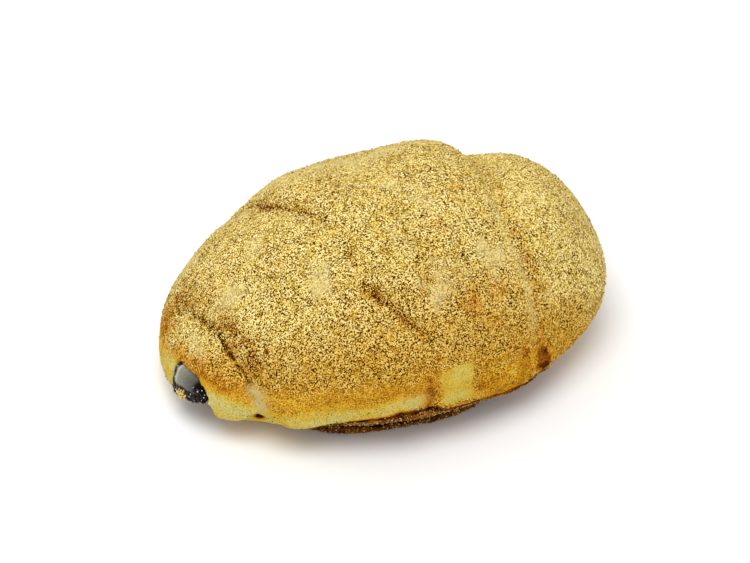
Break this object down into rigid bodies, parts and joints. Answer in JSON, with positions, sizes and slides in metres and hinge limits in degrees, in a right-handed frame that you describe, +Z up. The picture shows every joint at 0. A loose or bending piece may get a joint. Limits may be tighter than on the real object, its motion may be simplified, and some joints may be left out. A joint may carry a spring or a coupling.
{
  "type": "salt bread roll",
  "caption": "Rolled crescent-shaped bread with overlapping wraps, a browned base lip and a dusting of yellow powder, with a dark glossy filling showing at its open end.",
  "frame": {"origin": "bottom centre of the object's box, on the surface the roll rests on", "axes": "+X along the roll from its open, filled end to its closed end, +Y away from the viewer of the picture, +Z up"},
  "size_m": [0.1242, 0.087, 0.0543],
  "materials": {
    "dusted_crust": "browned bread crust dusted with a grainy pale yellow powder, matte",
    "dark_filling": "dark grey to black soft paste, glossy"
  },
  "bodies": {
    "root": {"bread": "dusted_crust", "filling": "dark_filling"}
  },
  "joints": []
}
